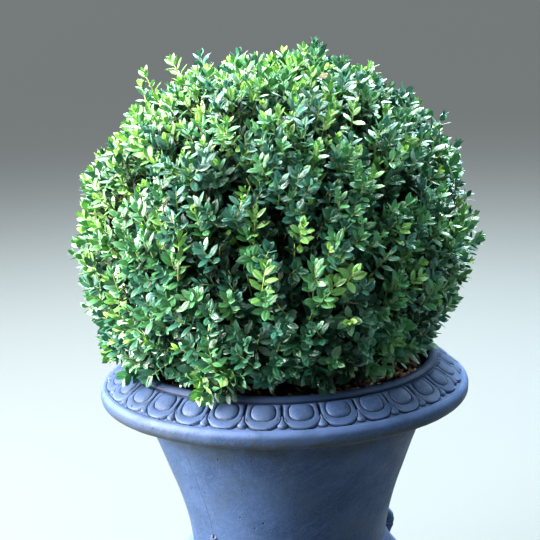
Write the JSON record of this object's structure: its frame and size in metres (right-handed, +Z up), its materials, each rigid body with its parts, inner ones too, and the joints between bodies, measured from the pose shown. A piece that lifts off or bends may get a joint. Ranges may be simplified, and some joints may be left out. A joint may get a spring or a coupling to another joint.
{
  "type": "clipped box ball in a classical urn planter",
  "caption": "Clipped evergreen box ball growing in a bell-shaped urn with an egg-and-dart rim, loop handles, gadrooned bowl, foot and square plinth.",
  "frame": {"origin": "middle of the square plinth's flat underside, at ground level", "axes": "+Z up along the urn's axis; the two handles lie along X, and the plinth's sides face X and Y"},
  "size_m": [0.552, 0.5469, 0.9481],
  "materials": {
    "urn_stone": "lead-blue cast, dull, with dusty wear and pits",
    "soil": "moist potting soil with bark chips",
    "bark": "thin corky grey-brown bark",
    "leaves": "small glossy dark green leaves with yellow-green tips"
  },
  "bodies": {
    "root": {"urn_plinth": "urn_stone", "urn_foot": "urn_stone", "urn_gadrooned_bowl": "urn_stone", "urn_bell_with_egg_and_dart_rim": "urn_stone", "urn_handle_right": "urn_stone", "urn_handle_left": "urn_stone", "potting_soil": "soil", "trunk": "bark", "bough_1": "bark", "bough_2": "bark", "bough_3": "bark", "bough_4": "bark", "bough_5": "bark", "clipped_crown": "leaves"}
  },
  "joints": []
}
